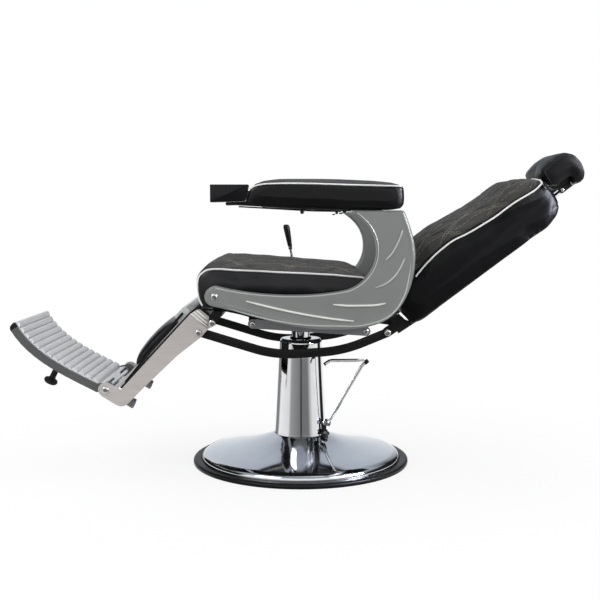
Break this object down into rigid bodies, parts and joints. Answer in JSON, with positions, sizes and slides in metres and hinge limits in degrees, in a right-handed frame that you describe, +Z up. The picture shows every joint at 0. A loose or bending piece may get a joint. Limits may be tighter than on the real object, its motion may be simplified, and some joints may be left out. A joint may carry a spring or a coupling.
{
  "type": "hydraulic barber chair",
  "caption": "Reclining barber chair on a round pump base, with curved cast arms, padded rests, ribbed folding footrest and sliding headrest, stored laid back.",
  "frame": {"origin": "centre of the round base's underside, on the floor", "axes": "+Z up, +X towards the backrest, -X towards the footrest, -Y the sitter's left"},
  "size_m": [1.6724, 0.66, 0.9374],
  "materials": {
    "chrome": "mirror chrome plate",
    "black_steel": "satin black powder coat",
    "rubber": "moulded black rubber",
    "arm_casting": "satin silver-grey paint on an aluminium casting",
    "leg_plate": "satin plated steel",
    "footrest_ribs": "satin cast aluminium",
    "footrest_rail": "dark grey paint",
    "upholstery": "black upholstery vinyl, quilted where a sitter leans",
    "panel_board": "board wrapped in black vinyl",
    "cast_iron": "painted iron",
    "gloss_black": "polished black plastic"
  },
  "bodies": {
    "base": {"base_rubber_rim": "rubber", "base_dome": "chrome", "base_plate": "cast_iron", "pump_cylinder": "cast_iron", "column_cover": "chrome", "piston_seal": "rubber", "pump_housing": "cast_iron", "pump_clevis": "black_steel", "pump_pivot_pin": "chrome"},
    "piston": {"piston_rod": "chrome"},
    "seat_carriage": {"swivel_bearing": "black_steel", "swivel_hub": "cast_iron", "seat_frame": "black_steel", "seat_side_bar_left": "leg_plate", "seat_side_bar_right": "leg_plate", "seat_board": "panel_board", "seat_cushion": "upholstery", "arm_frame_left": "arm_casting", "arm_frame_right": "arm_casting", "arm_support_bar_left": "black_steel", "arm_support_bar_right": "black_steel", "arm_tip_block_left": "gloss_black", "arm_tip_block_right": "gloss_black", "arm_pad_left": "upholstery", "arm_pad_right": "upholstery", "leg_pivot_bolt_left": "chrome", "leg_pivot_bolt_right": "chrome"},
    "pump_pedal": {"pedal_arm": "black_steel", "pedal_collar": "chrome", "pedal_rod": "chrome"},
    "recline_lever": {"recline_lever_rod": "chrome", "recline_lever_grip": "gloss_black"},
    "backrest": {"back_hinge_frame": "black_steel", "back_pivot_shaft": "black_steel", "rear_link_bolt_left": "chrome", "rear_link_bolt_right": "chrome", "back_board": "panel_board", "headrest_guide": "black_steel", "back_cushion": "upholstery"},
    "headrest_slider": {"headrest_bar": "chrome", "headrest_pivot_pin": "chrome"},
    "headrest": {"headrest_hinge": "black_steel", "headrest_cushion": "upholstery"},
    "recline_links": {"link_bar_left": "black_steel", "link_bar_right": "black_steel"},
    "legrest": {"leg_side_plate_left": "leg_plate", "leg_side_plate_right": "leg_plate", "front_link_bolt_left": "chrome", "front_link_bolt_right": "chrome", "footrest_hinge_rod": "chrome", "leg_board": "panel_board", "leg_panel": "leg_plate", "calf_cushion": "upholstery", "leg_rubber_foot_left": "rubber", "leg_rubber_foot_right": "rubber"},
    "footrest": {"footrest_deck": "footrest_ribs", "footrest_rail_left": "footrest_rail", "footrest_rail_right": "footrest_rail", "footrest_bumper_left": "rubber", "footrest_bumper_right": "rubber"}
  },
  "joints": [
    {"name": "seat_lift", "type": "slide", "parent": "base", "child": "piston", "axis": [0, 0, 1], "range_m": [0, 0.16]},
    {"name": "seat_swivel", "type": "hinge", "parent": "piston", "child": "seat_carriage", "pos_m": [0, 0, 0.401], "axis": [0, 0, 1], "continuous": true},
    {"name": "pump_stroke", "type": "hinge", "parent": "base", "child": "pump_pedal", "pos_m": [0.074, -0.05, 0.098], "axis": [0, 1, 0], "range_deg": [0, 24], "stiffness_Nm_per_rad": 4, "springref_deg": -22.92},
    {"name": "lever_pull", "type": "hinge", "parent": "seat_carriage", "child": "recline_lever", "pos_m": [-0.02, 0.239, 0.456], "axis": [0, 1, 0], "range_deg": [0, 18], "stiffness_Nm_per_rad": 3, "springref_deg": -17.19},
    {"name": "back_recline", "type": "hinge", "parent": "seat_carriage", "child": "backrest", "pos_m": [0.289, 0, 0.447], "axis": [0, -1, 0], "range_deg": [0, 33]},
    {"name": "link_swing", "type": "hinge", "parent": "backrest", "child": "recline_links", "pos_m": [0.249, 0, 0.418], "axis": [0, -1, 0], "range_deg": [-33, 0]},
    {"name": "leg_raise", "type": "hinge", "parent": "seat_carriage", "child": "legrest", "pos_m": [-0.2515, 0, 0.4485], "axis": [0, -1, 0], "range_deg": [0, 33]},
    {"name": "footrest_fold", "type": "hinge", "parent": "legrest", "child": "footrest", "pos_m": [-0.56, 0, 0.255], "axis": [0, 1, 0], "range_deg": [0, 75]},
    {"name": "headrest_slide", "type": "slide", "parent": "backrest", "child": "headrest_slider", "axis": [0.7878, 0, 0.6159], "range_m": [0, 0.08]},
    {"name": "headrest_tilt", "type": "hinge", "parent": "headrest_slider", "child": "headrest", "pos_m": [0.80427, 0, 0.84981], "axis": [0, -1, 0], "range_deg": [-25, 3]}
  ],
  "couplings": [
    {"joint": "link_swing", "follows": "back_recline", "ratio": -1},
    {"joint": "leg_raise", "follows": "back_recline", "ratio": 1}
  ]
}
